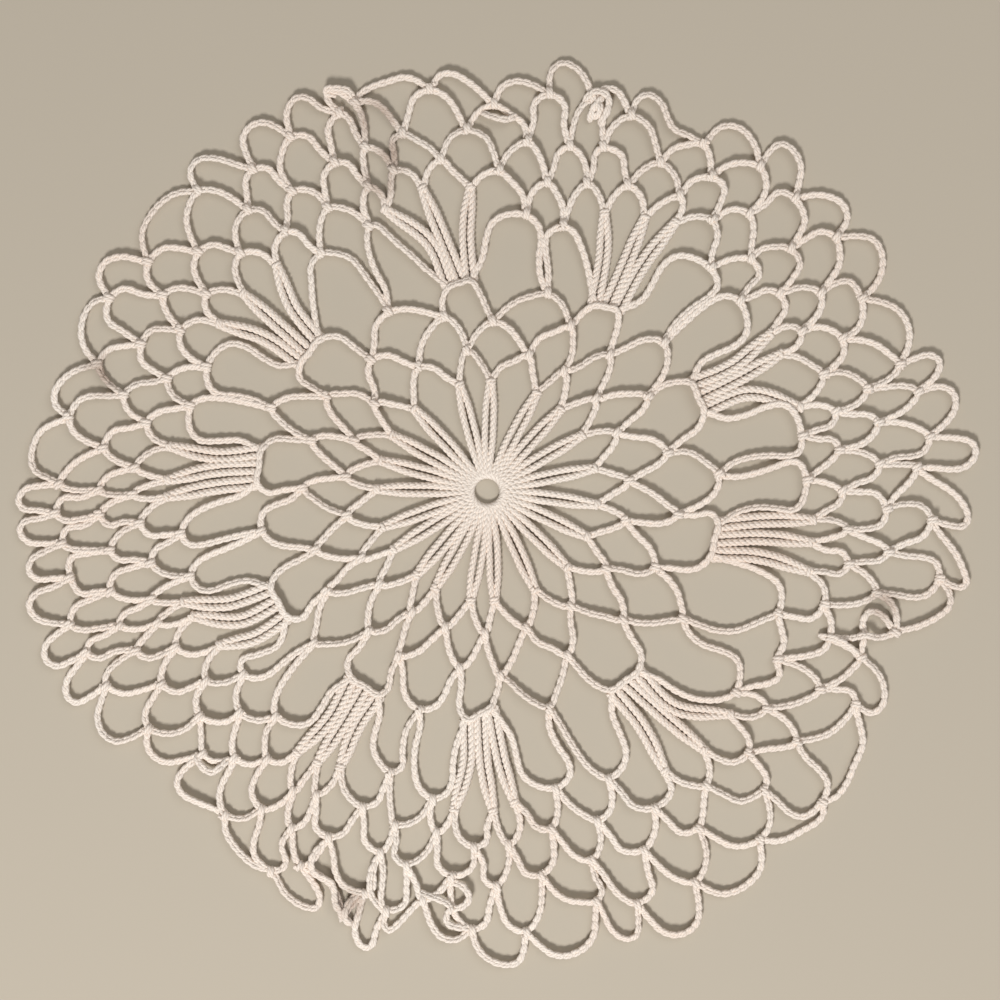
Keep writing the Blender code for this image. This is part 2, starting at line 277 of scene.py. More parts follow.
# Round 5, a row for each section: (bearing, reach) of its three pair tips and two arches.
# tip 1, tip 2, tip 3, arch 1, arch 2
ROUND_5 = (
    ((342, 79), (348, 83), (357, 82), (8, 75), (16, 74)),
    ((23, 81), (30, 85), (35, 88), (45, 85), (53, 85)),
    ((61, 87), (65, 87), (75, 87), (80, 86), (88, 86)),
    ((95, 88), (99, 88), (104, 89), (113, 85), (129, 86)),
    ((132.5, 88.5), (140, 91), (148, 89), (157, 84), (167, 82)),
    ((175, 84), (179, 86), (186, 86), (190, 84), (199, 80)),
    ((208, 84), (212, 86), (216, 87), (223, 83), (233, 82)),
    ((240, 83), (247, 86), (250, 87), (254, 83), (262, 83)),
    ((269, 86), (272, 86), (278, 86), (286, 83), (294, 83)),
    ((302, 85), (309, 84), (317, 83), (325, 78), (336, 78)),
)

# Round 8, a row for each section: (bearing, reach) of its five rim knots.
# knot 1, knot 2, knot 3, knot 4, knot 5
RIM = (
    ((341, 110), (352, 109), (1, 104), (9, 108), (15, 109)),
    ((21, 108), (32, 110), (39, 113), (46, 114), (54, 116)),
    ((63, 113), (73, 116), (77, 119), (83, 120), (87, 116)),
    ((94, 119), (101, 124), (109, 116), (114, 110), (121, 114)),
    ((133, 123), (142, 119), (152, 119), (160, 118), (165, 114)),
    ((175, 119), (182, 118), (189, 111), (193, 116), (197, 113)),
    ((208, 114), (210, 118), (219, 112), (228, 105), (235, 111)),
    ((243, 115), (248, 116), (252, 117), (258, 114), (263, 115)),
    ((267, 116), (271, 115), (280, 114), (288, 110), (297, 114)),
    ((304, 110), (316, 112), (324, 107), (331, 109), (338, 109)),
)

# Round 9, a row for each section: (bearing, reach) of the tops of its five edge loops.
# loop 1, loop 2, loop 3, loop 4, loop 5
EDGE = (
    ((338, 116), (344, 114), (355, 112), (4, 111), (10, 117)),
    ((18, 114), (22, 115), (35, 119), (42, 124), (51, 124)),
    ((59, 124), (69, 122), (74, 127), (78, 129), (86, 132)),
    ((93, 130), (101, 132), (104, 128), (107, 107.5), (118, 122)),
    ((129, 125), (135, 126), (148, 128), (156, 130), (163, 127)),
    ((168, 127), (178, 128), (186, 121), (192, 121), (195.5, 127.5)),
    ((200.5, 123), (205.5, 122.5), (214, 119), (225, 116), (232, 115)),
    ((238, 123), (244, 126), (249, 128), (256, 127), (260, 126)),
    ((265, 127), (269, 127), (274, 124), (283, 119), (294, 119)),
    ((301, 120), (311, 117), (319, 119), (327, 117), (334, 118)),
)

# Where the lace lies pushed aside from its even lay, several in a row: the bearing and reach of a
# place, then how far it lies clockwise and outward of there.
PUSHES = (
    (0, 54, -1.5, -1.5), (4.5, 98, 2, 0.5), (19.5, 101, -3, -0.5), (22.5, 71, -3, -1.5),
    (26, 58, 3.5, -3), (28, 115, -2, -4.5), (29, 61, 0, -3.5), (31.5, 96, 2, 1.5),
    (37.5, 100, 1, 3), (38, 115, 2.5, 1), (40, 58, -2.5, -2), (41.5, 110, 2, 1),
    (48, 112, 2.5, 0.5), (50, 92, 1.5, 1.5), (53.5, 102, 1, 2), (60.5, 110, -2.5, 1.5),
    (86, 94, -1.5, -2), (89.5, 114, -1, -2), (91, 60, 0, 2), (92.5, 116, -1.5, 1.5),
    (94, 104, 1, 2.5), (94.5, 77, -2.5, 0.5), (96.5, 106, 2, 0.5), (98, 75, -2.5, -0.5),
    (108.5, 69, -2.5, 0), (112, 102, 2, -2), (117, 82, -2.5, -1.5), (118, 92, 2, -3),
    (120, 111, -3, 1), (122, 102, -2, 2), (124, 71, 3, -1.5), (133, 104, -2, -1.5),
    (138.5, 110, -2.5, 0), (145.5, 105, 2, -1.5), (149.5, 93, -2, 0.5), (172, 78, -1.5, -2),
    (174, 59, 3.5, -3), (177, 62, 1, -4), (182.5, 74, 2, -0.5), (183.5, 101, -2.5, 0.5),
    (190.5, 118, 2, -0.5), (191.5, 102, 3, 0.5), (192, 121, 2, 0.5), (194, 94, 2.5, 1),
    (196, 71, 2.5, 1), (202.5, 122, -8.5, -1.5), (204.5, 119, -8, -2), (205.5, 119, -8, -3.5),
    (205.5, 122, -7, 1), (208.5, 114.5, -2.5, -1.5), (217.5, 101, 2, 1.5), (222, 116, 1, -2.5),
    (229.5, 103, -2.5, -1.5), (230.5, 112, -1.5, 1.5), (233, 60, -1, -2), (236, 70, -3, -1),
    (237, 76, -3.5, 0), (240, 73, -3, 1), (247, 101, -1.5, -1.5), (253.5, 113, 1.5, 2),
    (256, 101, 1.5, 2.5), (260, 110, 2, 2), (266.5, 78, -2.5, -0.5), (268, 75, -2.5, -0.5),
    (291.5, 79, -1, -2), (318.5, 74, 3.5, -2.5), (320, 102, 2, -0.5), (324, 94, 2, -1.5),
    (332.5, 61, 2, -0.5), (332.5, 73, 3, -1), (339, 106, 2.5, 0), (341.5, 71, -3, 0),
    (342, 79, -2.5, 1.5), (345.5, 54, 2, -1.5), (348, 57, 1.5, -1.5), (349.5, 97, -1.5, -2),
    (355.5, 88, -1.5, -2),
)

# Chains that lie folded or curled on top of the edge, from one knot or strand to another, a row
# for each: the outer piece that it belongs to, then (bearing, reach) of its points.
FOLDS = (
    (1, ((14, 108), (14.5, 110), (15.5, 111.5), (17, 111), (17.5, 109), (17.5, 106), (17, 103.5))),
    (1, ((16.5, 111), (16, 109), (15.5, 106.5), (15.5, 103.5))),
    (1, ((15, 109.5), (16, 108.5), (16.5, 106.5), (16, 104.5))),
    (1, ((359, 102), (1, 100.5), (3, 100), (4.5, 101.5))),
    (2, ((113.5, 97.5), (113, 103), (113.5, 107.5), (114, 109.5))),
    (4, ((204.5, 103), (205.5, 108.5), (204.5, 112.5), (201.5, 113.5), (200, 118.5),
         (197.5, 122))),
    (4, ((197.5, 113), (198.5, 116.5), (198.5, 120.5), (197.5, 122.5))),
    (4, ((196.5, 101.5), (197, 107), (196, 113), (193.5, 117))),
    (4, ((185.5, 105.5), (183.5, 106.5), (182.5, 109.5), (183.5, 112), (185, 113))),
    (4, ((190, 109.5), (188, 110), (186, 111), (185, 112.5), (185.5, 114.5), (185, 117),
         (182, 118))),
    (4, ((228, 105.5), (226.5, 106.5), (224.5, 106), (224, 103), (224, 100))),
    (5, ((339, 114), (338, 116), (339.5, 115.5), (341, 113.5), (341, 111))),
)
CENTRE = SECTIONS


def place(point):
    """A (bearing, reach) pair as a point in plan."""
    bearing, reach = point
    turn = math.radians(bearing)
    return Vector((reach * math.sin(turn), reach * math.cos(turn)))


def between(a, b, share):
    """The (bearing, reach) pair at a share of the short way round from a to b."""
    swing = (b[0] - a[0] + 180) % 360 - 180
    return (a[0] + swing * share, a[1] + (b[1] - a[1]) * share)


def rotated(items):
    """The same items from the second on, with the first at the end."""
    return items[1:] + items[:1]


def in_a_row(table):
    """The points of all a table's rows."""
    return [point for row in table for point in row]


def heading(a, b):
    return math.atan2(b.y - a.y, b.x - a.x)


@dataclass
class Strand:
    """A strand from one knot to another, the angle at which it leaves each, and its stations."""

    start: int
    end: int
    leave: float
    arrive: float
    handle: float
    steps: int
    path: list = field(default_factory=list)


class Net:
    """Stations in plan, joined by straight runs; a knot is a station of three runs or more."""

    def __init__(self):
        self.at = []
        self.half = []
        self.links = []
        self.strands = []
        self.loops = []
        self.pairs = []
        self.over = {}
        self.tree = None

    def station(self, at, half=CHAIN_HALF):
        self.at.append(at)
        self.half.append(half)
        self.links.append([])
        return len(self.at) - 1

    def link(self, a, b):
        self.links[a].append(b)
        self.links[b].append(a)

    def unlink(self, a, b):
        self.links[a].remove(b)
        self.links[b].remove(a)

    def straight(self, a, b, steps=1):
        """Notes a straight strand, laid in this many runs."""
        there = heading(self.at[a], self.at[b])
        self.strands.append(Strand(a, b, there, there + math.pi, HANDLE, steps))
        return self.strands[-1]

    def loop_half(self, valley, peak, other_valley, noise, handle=HANDLE):
        """Notes one side of a loop: it bellies out of its valley and comes level into its peak."""
        foot, top, far = self.at[valley], self.at[peak], self.at[other_valley]
        side = 1 if (top - foot).cross(far - foot) < 0 else -1
        belly = math.radians(BELLY + noise.uniform(-UNEVEN, UNEVEN))
        drop = math.radians(PEAK_DROP + noise.uniform(-UNEVEN, UNEVEN))
        leave = heading(foot, top) + side * belly
        arrive = heading(far, foot) + side * drop
        steps = max(2, round((top - foot).length * CURVE_SLACK / STATION_PITCH))
        self.strands.append(Strand(valley, peak, leave, arrive, handle, steps))
        return self.strands[-1]

    def loop(self, left, peak, right, noise, section, handle=HANDLE):
        """A whole loop of chain stitches over its peak, worked from left to right."""
        there = self.loop_half(left, peak, right, noise, handle)
        back = self.loop_half(right, peak, left, noise, handle)
        self.loops.append(Loop(section, [there], [back], [peak]))

    def grow_tree(self):
        """Readies the search for stations that lie near a point."""
        self.tree = KDTree(len(self.at))
        for here, at in enumerate(self.at):
            self.tree.insert(at.to_3d(), here)
        self.tree.balance()

    def near(self, at):
        return [here for _, here, _ in self.tree.find_range(at.to_3d(), 2 * STATION_PITCH)]


@dataclass
class Loop:
    """A row of chain stitches: strands worked forward, then strands worked back to front, and
    the knots on the way at which a later round catches it."""

    section: int
    there: list
    back: list
    caught: list

    def path(self):
        stations = [self.there[0].start]
        for strand in self.there:
            stations += strand.path[1:]
        for strand in self.back:
            stations += strand.path[-2::-1]
        return stations


@dataclass
class Pair:
    """Two tall stitches that stand side by side on one foot and meet at one tip."""

    section: int
    strands: list


def spread_knots(net, roots):
    """Turns the strands that leave a knot apart, closer at the roots of the fans."""
    ends = {}
    for strand in net.strands:
        chord = heading(net.at[strand.start], net.at[strand.end]) % math.tau
        back = (chord + math.pi) % math.tau
        ends.setdefault(strand.start, []).append((chord, strand.leave, strand, "leave"))
        ends.setdefault(strand.end, []).append((back, strand.arrive, strand, "arrive"))
    for knot, at_knot in ends.items():
        at_knot.sort(key=lambda end: end[:2])
        turns = [
            chord + (turn - chord + math.pi) % math.tau - math.pi for chord, turn, *_ in at_knot
        ]
        if len(turns) > 2:
            part_turns(turns, math.radians(FAN_GAP if knot in roots else KNOT_GAP))
        for (_, _, strand, end), turn in zip(at_knot, turns):
            setattr(strand, end, turn)


def part_turns(turns, gap):
    """Pushes neighbouring directions round a knot apart until the gap is left between them."""
    for _ in range(SPREAD_TIMES):
        for here in range(len(turns)):
            after = (here + 1) % len(turns)
            lap = math.tau if after == 0 else 0
            short = gap - (turns[after] + lap - turns[here])
            if short > 0:
                turns[here] -= short / 2
                turns[after] += short / 2


def lay_strands(net):
    """Lays each strand as a smooth curve, in straight runs from station to station."""
    for strand in net.strands:
        start, end = net.at[strand.start], net.at[strand.end]
        reach = (end - start).length * strand.handle
        out = start + Vector((math.cos(strand.leave), math.sin(strand.leave))) * reach
        back = end + Vector((math.cos(strand.arrive), math.sin(strand.arrive))) * reach
        strand.path = [strand.start]
        for step in range(1, strand.steps):
            t = step / strand.steps
            s = 1 - t
            at = start * s**3 + out * 3 * s * s * t + back * 3 * s * t * t + end * t**3
            half = net.half[strand.start] * s + net.half[strand.end] * t
            strand.path.append(net.station(at, half))
        strand.path.append(strand.end)
        for a, b in zip(strand.path, strand.path[1:]):
            net.link(a, b)


def fuse_crossings(net):
    """Joins strands that cross, where a loop has folded over its neighbours."""
    net.grow_tree()
    runs = [(a, b) for a, links in enumerate(net.links) for b in links if a < b]
    for a, b in runs:
        for near in net.near((net.at[a] + net.at[b]) / 2):
            for far in list(net.links[near]):
                if b in net.links[a] and not {a, b} & {near, far}:
                    fuse_runs(net, (a, b), (near, far))


def fuse_runs(net, one, other):
    """Joins two runs at a station where they cross, if they do. The first passes over."""
    crossing = intersect_line_line_2d(*(net.at[end] for end in one + other))
    if crossing is None:
        return
    knot = net.station(crossing)
    net.over[knot] = next(s for s in net.strands if one[0] in s.path and one[1] in s.path)
    for a, b in (one, other):
        net.unlink(a, b)
        net.link(a, knot)
        net.link(knot, b)
        for strand in net.strands:
            if a in strand.path and b in strand.path:
                strand.path.insert(max(strand.path.index(a), strand.path.index(b)), knot)


def strangers(net, here):
    """Each run near a station that isn't its own: (the run's ends, its nearest point, share)."""
    at = net.at[here]
    runs = {(min(a, b), max(a, b)) for a in net.near(at) for b in net.links[a]}
    for run in sorted(runs):
        start, end = (net.at[station] for station in run)
        share = min(max(intersect_point_line(at, start, end)[1], 0), 1)
        touched = {0: run[0], 1: run[1]}.get(share)
        if here not in run and touched not in net.links[here]:
            yield run, start.lerp(end, share), share


def ease_apart(net):
    """Moves strands that lie too close a little way apart. The disc stays as it is."""
    for _ in range(EASE_TIMES):
        net.grow_tree()
        moves = [Vector((0, 0)) for _ in net.at]
        for here in range(DISC_STATIONS, len(net.at)):
            for (a, b), foot, share in strangers(net, here):
                away = net.at[here] - foot
                other_half = net.half[a] * (1 - share) + net.half[b] * share
                short = net.half[here] + other_half + CLEARANCE - away.length
                if short > 0:
                    push = away.normalized() * short * EASE_SHARE
                    moves[here] += push
                    moves[a] -= push * (1 - share)
                    moves[b] -= push * share
        for here in range(DISC_STATIONS, len(net.at)):
            give = KNOT_GIVE if len(net.links[here]) > 2 else 1
            net.at[here] += moves[here] * give


def ring_places(knots, lean, reach):
    """Points round the centre, evenly turned but leaning by a share towards round 3's knots."""
    even = [(360 * i / PAIRS + FIRST_PAIR, reach) for i in range(PAIRS)]
    return [place((between(a, b, lean)[0], reach)) for a, b in zip(even, knots)]


def inner_rounds(net, noise):
    """The centre ring, round 1's pairs and rounds 2 to 4. Returns round 4's fan roots and tops."""
    knots = rotated(in_a_row(ROUND_3))
    tops = in_a_row(ROUND_4)
    eye = [net.station(at) for at in ring_places(knots, EYE_LEAN, EYE_REACH)]
    disc = [net.station(at, DISC_HALF) for at in ring_places(knots, DISC_LEAN, DISC_REACH)]
    tips = [net.station(place((b, PAIR_TIP_REACH)), PAIR_TIP_HALF) for b, _ in knots]
    second = [net.station(place((b, ROUND_2_REACH))) for b, _ in tops]
    third = [net.station(place(knot)) for knot in knots]
    for i in range(PAIRS):
        after = (i + 1) % PAIRS
        net.straight(eye[i], eye[after])
        net.straight(disc[i], disc[after])
        foot = net.straight(eye[i], disc[i])
        net.pairs.append(Pair(CENTRE, [foot, net.straight(disc[i], tips[i], 2)]))
        net.loop(tips[i - 1], second[i], tips[i], noise, CENTRE)
        net.loop(second[i], third[i], second[after], noise, CENTRE)
    return fourth_round(net, third, tops, noise)


def fourth_round(net, third, tops, noise):
    """Round 4: every other loop is caught by a fan's root, a bar that three pairs stand on."""
    fans, plains = [], []
    for i, top in enumerate(tops):
        at = place(top)
        left, right = third[i - 1], third[i]
        if i % 2:
            plains.append(net.station(at))
            net.loop(left, plains[-1], right, noise, CENTRE)
            continue
        along = Vector((at.y, -at.x)).normalized() * FAN_ROOT / 2
        root = [net.station(at + along * side, PAIR_HALF) for side in (-1, 0, 1)]
        bars = [net.straight(root[0], root[1]), net.straight(root[1], root[2])]
        there = net.loop_half(left, root[0], right, noise)
        back = net.loop_half(right, root[2], left, noise)
        net.loops.append(Loop(CENTRE, [there, *bars], [back], []))
        fans.append(root)
    return fans, plains


def fan_round(net, fans, plains, noise):
    """Round 5: three stitch pairs stand on each fan root, with a big arch on either side."""
    tops = []
    for i, row in enumerate(ROUND_5):
        knots = [net.station(place(point)) for point in row]
        for foot, tip in zip(fans[i], knots[:3]):
            net.half[tip] = PAIR_TIP_HALF
            net.pairs.append(Pair(i, [net.straight(foot, tip, 2)]))
        net.loop(fans[i][2], knots[3], plains[i], noise, i)
        net.loop(plains[i], knots[4], fans[(i + 1) % SECTIONS][0], noise, i)
        tops += knots
    return tops


def loop_round(net, below, peaks, noise, handle=HANDLE):
    """A round of chain loops, each from one knot below to the next, over its own peak."""
    for number, (left, right, peak) in enumerate(zip(below, rotated(below), peaks)):
        net.loop(left, peak, right, noise, number * SECTIONS // LOOPS, handle)


def outer_rounds(net, round_5, noise):
    """Rounds 6 to 9, fifty chain loops each, out to the free edge."""
    inner, rim, edge = in_a_row(ROUND_5), in_a_row(RIM), in_a_row(EDGE)
    count = range(LOOPS)
    mids = [between(inner[i], inner[(i + 1) % LOOPS], 0.5) for i in count]
    shoulders = [between(rim[i - 1], rim[i], 0.5) for i in count]
    sixth = [between(mids[i], rim[i], ROUND_6_SHARE) for i in count]
    seventh = [between(inner[i], shoulders[i], ROUND_7_SHARE) for i in count]
    round_6, round_7, round_8, round_9 = (
        [net.station(place(point)) for point in points] for points in (sixth, seventh, rim, edge)
    )
    loop_round(net, round_5, round_6, noise)
    loop_round(net, round_6, rotated(round_7), noise)
    loop_round(net, round_7, round_8, noise)
    loop_round(net, round_8, rotated(round_9), noise, EDGE_HANDLE)


@lru_cache
def lace_net():
    """The whole net of strands, moved to where the solid's ridges are and then pushed aside."""
    net = Net()
    noise = random.Random(NET_SEED)
    fans, plains = inner_rounds(net, noise)
    tops = fan_round(net, fans, plains, noise)
    outer_rounds(net, tops, noise)
    spread_knots(net, {knot for root in fans for knot in root})
    lay_strands(net)
    fuse_crossings(net)
    ease_apart(net)
    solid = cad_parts["doily"].data.vertices
    ridge = [vert.co.to_2d() / MM for vert in solid if vert.co.z > RIDGE_HEIGHT * MM]
    net.centre = lowest(ridge) - lowest(net.at)
    for at in net.at:
        at += pushed(at) + net.centre
    return net


def pushed(at):
    """How far a point of the even lay has been pushed aside."""
    shift, total = Vector((0, 0)), 1
    for bearing, reach, clockwise, outward in PUSHES:
        middle = place((bearing, reach))
        share = smooth(1 - (at - middle).length / PUSH_REACH)
        out = middle.normalized()
        shift += (Vector((out.y, -out.x)) * clockwise + out * outward) * share
        total += share
    return shift / max(total - 1, 1)


def lowest(points):
    return Vector((min(point.x for point in points), min(point.y for point in points)))


class Line:
    """A smooth centreline through a few points, measured along its length."""

    def __init__(self, points):
        around = [points[0], *points, points[-1]]
        ways = [(after - before).normalized() for before, after in zip(around, around[2:])]
        self.points = []
        for a, b, out, home in zip(points, points[1:], ways, ways[1:]):
            reach = (b - a).length / 3
            self.points += interpolate_bezier(a, a + out * reach, b - home * reach, b, FINE)[:-1]
        self.points.append(points[-1])
        self.marks = [0]
        for a, b in zip(self.points, self.points[1:]):
            self.marks.append(self.marks[-1] + (b - a).length)
        self.length = self.marks[-1]

    def at(self, distance):
        """The point at a distance from the start, and the way on from there."""
        index = min(max(bisect_right(self.marks, distance) - 1, 0), len(self.points) - 2)
        a, b = self.points[index : index + 2]
        share = (distance - self.marks[index]) / (self.marks[index + 1] - self.marks[index])
        return a.lerp(b, share), (b - a).normalized()

    def around(self, distance, roll=0):
        """The point at a distance, and the directions aside and up when the strand is rolled."""
        middle, way = self.at(distance)
        side = Vector((-way.y, way.x, 0)).normalized()
        up = way.cross(side)
        cos, sin = math.cos(roll), math.sin(roll)
        return middle, side * cos + up * sin, up * cos - side * sin


def chain_yarn(line, sizes, noise):
    """The yarn's way through a row of chain stitches."""
    count = max(1, round(line.length * MM / sizes.stitch - HEAD))
    pitch = line.length / (count + HEAD)
    rolls = noise.uniform(-ROLL, ROLL), noise.uniform(-ROLL, ROLL)
    yarn = []
    for stitch in range(count):
        wide = 1 + noise.uniform(-SLACK, SLACK)
        roll = rolls[0] + (rolls[1] - rolls[0]) * stitch / count
        for along, aside, up in CHAIN_STITCH:
            middle, side, rise = line.around((stitch + along) * pitch, roll)
            yarn.append(middle + side * aside * CHAIN_WIDE * wide + rise * up * CHAIN_DEEP)
    return yarn


def wrap_yarn(middle, way, reach, rise, turns, noise):
    """A wrap of yarn round something that runs the given way."""
    side = Vector((-way.y, way.x, 0)).normalized()
    first = noise.uniform(0, math.tau)
    steps = round(turns * WRAP_STEPS)
    yarn = []
    for step in range(steps + 1):
        turn = first + math.tau * step / WRAP_STEPS
        along = (step / steps - 0.5) * turns * WRAP_PITCH
        round_it = side * math.cos(turn) * reach + UP * math.sin(turn) * rise
        yarn.append(middle + way * along + round_it)
    return yarn


def post_yarns(line, sizes, post, side_of_pair, noise):
    """The strands of yarn in one tall stitch, twisted together, parted from its twin."""
    foot, apart, reach = post
    turns = line.length * MM / sizes.twist
    first = noise.uniform(0, math.tau)
    steps = round(line.length / POST_STEP)
    for ply in range(POST_PLIES):
        yarn = []
        for step in range(steps + 1):
            share = step / steps
            middle, side, up = line.around(line.length * share)
            turn = first + math.tau * (turns * share + ply / POST_PLIES)
            twist = side * math.cos(turn) + up * math.sin(turn)
            thin = 1 - POST_END * smooth((share - POST_END_FROM) / (1 - POST_END_FROM))
            out = side * parting(share, foot, apart) * side_of_pair
            yarn.append(middle + out + twist * reach * thin)
        yield yarn


def smooth(share):
    share = min(max(share, 0), 1)
    return share * share * (3 - 2 * share)


def parting(share, foot, apart):
    """How far one stitch of a pair stands from the pair's middle, from its foot to its tip."""
    apart = foot + (apart - foot) * smooth(share / OPEN_BY)
    return apart + (TIP_APART - apart) * smooth((share - CLOSE_FROM) / (1 - CLOSE_FROM))


def eased(net, path, noise):
    """The places of a path's stations, as unevenly as a hand lays them. The sharp bends go, the
    inner rounds are drawn straight, and a loop is fullest near its top, the path's middle."""
    places = [net.at[here].copy() for here in path]
    for share in SMOOTH_SHARES:
        middles = [(before + after) / 2 for before, after in zip(places, places[2:])]
        for number, middle in enumerate(middles, 1):
            if len(net.links[path[number]]) == 2:
                places[number] += (middle - places[number]) * share
    centre = sum(places, Vector((0, 0))) / len(places)
    knots = [number for number, station in enumerate(path) if len(net.links[station]) != 2]
    for first, last in zip(knots, knots[1:]):
        chord = places[last] - places[first]
        middle = places[first] + chord / 2
        loose = smooth(middle.length / TAUT_REACH - 1)
        aside = Vector((-chord.y, chord.x))
        full = loose * FULL * min(1, FULL_LENGTH / chord.length)
        full *= 1 if aside.dot(middle - centre) > 0 else -1
        bow, twist = noise.uniform(-BOW, BOW), noise.uniform(-TWIST, TWIST)
        rising = first + last < len(path)
        for number in range(first + 1, last):
            share = (number - first) / (last - first)
            risen = share if rising else 1 - share
            turn = math.pi * share
            out = full * math.sin(math.pi * risen**2) + bow * math.sin(turn)
            out += twist * math.sin(2 * turn)
            straight = places[first] + chord * share
            places[number] += (straight - places[number]) * TAUT * (1 - loose) + aside * out
    return places


def loop_yarns(net, loop, sizes, noise):
    """A loop's chain stitches, and a wrap of yarn at each knot where a later round catches it."""
    path = loop.path()
    lift = noise.uniform(0, LIFT)
    last = len(path) - 1
    heights = [CHAIN_HEIGHT + lift * math.sin(math.pi * i / last) for i in range(len(path))]
    for number, station in enumerate(path):
        if net.over.get(station) in loop.there + loop.back:
            heights[number] += OVER_LIFT
        if net.half[station] == PAIR_HALF:
            heights[number] += BAR_LIFT
    points = [at.to_3d() + UP * height for at, height in zip(eased(net, path, noise), heights)]
    points[0] += (points[1] - points[0]).normalized() * KNOT_STEP
    points[-1] += (points[-2] - points[-1]).normalized() * KNOT_STEP
    yield chain_yarn(Line(points), sizes, noise)
    foot = (points[0] + points[-1]) / 2
    for station in loop.caught:
        here = path.index(station)
        if len(net.links[station]) < 3:
            continue
        way = (points[here + 1] - points[here - 1]).normalized()
        out = Vector((-way.y, way.x, 0)).normalized()
        if out.dot(points[here] - foot) < 0:
            out = -out
        middle = points[here] + out * KNOT_OUT + UP * KNOT_UP
        yield wrap_yarn(middle, way, KNOT_REACH, KNOT_RISE, KNOT_TURNS, noise)


def pair_yarns(net, pair, sizes, noise):
    """Two tall stitches on one foot, and the wrap of yarn that closes them at their tip."""
    path = [pair.strands[0].start]
    for strand in pair.strands:
        path += strand.path[1:]
    line = Line([net.at[here].to_3d() + UP * POST_HEIGHT for here in path])
    at_centre = pair.section == CENTRE
    post = (EYE_APART, PAIR_APART, EYE_TWIST) if at_centre else (FAN_APART, FAN_APART, FAN_TWIST)
    for side in (-1, 1):
        yield from post_yarns(line, sizes, post, side, noise)
    middle, way = line.at(line.length - TIP_STEP)
    yield wrap_yarn(middle + UP * KNOT_UP, way, TIP_REACH, TIP_RISE, TIP_TURNS, noise)


def ring_yarn(net):
    """The yarn wound round and round the centre ring, where the tall stitches stand in it."""
    yarn = []
    steps = RING_TURNS * WRAP_STEPS
    for step in range(steps + 1):
        turn = math.tau * step / WRAP_STEPS
        at = place((360 * step / steps, RING_REACH + RING_DEEP * math.cos(turn))) + net.centre
        yarn.append(at.to_3d() + UP * (RING_HEIGHT + RING_RISE * math.sin(turn)))
    return yarn


def fold_yarn(net, fold, sizes, noise):
    """A chain that lies on top of others, with its ends let down on to them."""
    line = [(place(point) + net.centre).to_3d() + UP * FOLD_HEIGHT for point in fold]
    for end in (line[0], line[-1]):
        end.z = CHAIN_HEIGHT
    return chain_yarn(Line(line), sizes, noise)


def section_yarns(net, sections, sizes, noise):
    """Every length of yarn in some sections of the lace."""
    for loop in net.loops:
        if loop.section in sections:
            yield from loop_yarns(net, loop, sizes, noise)
    for pair in net.pairs:
        if pair.section in sections:
            yield from pair_yarns(net, pair, sizes, noise)


def add_node(tree, kind, settings=None, **links):
    """Adds a node with its properties. A link is named for its input, or i and its number."""
    node = tree.nodes.new(kind)
    for name, value in (settings or {}).items():
        setattr(node, name, value)
    for name, value in links.items():
        number = name.removeprefix("i")
        socket = node.inputs[int(number) if number.isdigit() else name.replace("_", " ")]
        if isinstance(value, bpy.types.NodeSocket):
            tree.links.new(value, socket)
        else:
            socket.default_value = value
    return node


def linear(code):
    """A hex colour as the linear values that a shader takes."""
    parts = (int(code[i : i + 2], 16) / 255 for i in (1, 3, 5))
    return (*(x / 12.92 if x <= 0.04045 else ((x + 0.055) / 1.055) ** 2.4 for x in parts), 1)


@lru_cache
def yarn_body(thickness):
    """The node group that gives a yarn its round body. It keeps the length along the yarn and
    the way round it, which the plies follow."""
    group = bpy.data.node_groups.new("Yarn body", "GeometryNodeTree")
    group.interface.new_socket("Yarn", in_out="INPUT", socket_type="NodeSocketGeometry")
    group.interface.new_socket("Body", in_out="OUTPUT", socket_type="NodeSocketGeometry")
    yarn = add_node(group, "NodeGroupInput").outputs[0]
    length = add_node(group, "GeometryNodeSplineParameter").outputs["Length"]
    place_round = add_node(group, "GeometryNodeInputPosition").outputs[0]
    circle = add_node(
        group, "GeometryNodeCurvePrimitiveCircle", Resolution=SIDES, Radius=thickness / 2
    ).outputs[0]
    store = "GeometryNodeStoreNamedAttribute"
    along = add_node(group, store, Geometry=yarn, Name="along", Value=length)
    as_vector = {"data_type": "FLOAT_VECTOR"}
    rim = add_node(group, store, as_vector, Geometry=circle, Name="round", Value=place_round)
    body = add_node(
        group,
        "GeometryNodeCurveToMesh",
        Curve=along.outputs[0],
        Profile_Curve=rim.outputs[0],
        Fill_Caps=True,
    )
    add_node(group, "NodeGroupOutput", i0=body.outputs[0])
    return group


def yarn_piece(name, yarns, thickness, material):
    """One piece of the lace: every yarn given its round body and joined in one mesh."""
    curve = bpy.data.curves.new(name, "CURVE")
    curve.dimensions = "3D"
    for yarn in yarns:
        spline = curve.splines.new("POLY")
        spline.points.add(len(yarn) - 1)
        for point, at in zip(spline.points, yarn):
            point.co = (*(at * MM), 1)
    draft = bpy.data.objects.new(name + " draft", curve)
    bpy.context.scene.collection.objects.link(draft)
    draft.modifiers.new("Yarn", "NODES").node_group = yarn_body(thickness)
    graph = bpy.context.evaluated_depsgraph_get()
    mesh = bpy.data.meshes.new_from_object(
        draft.evaluated_get(graph), preserve_all_data_layers=True, depsgraph=graph
    )
    bpy.data.objects.remove(draft)
    bpy.data.curves.remove(curve)
    mesh.name = name
    mesh.materials.clear()
    mesh.materials.append(material)
    mesh.shade_smooth()
    piece = bpy.data.objects.new(name, mesh)
    bpy.context.scene.collection.objects.link(piece)
    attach(piece, "root")
    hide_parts("doily")
    return piece


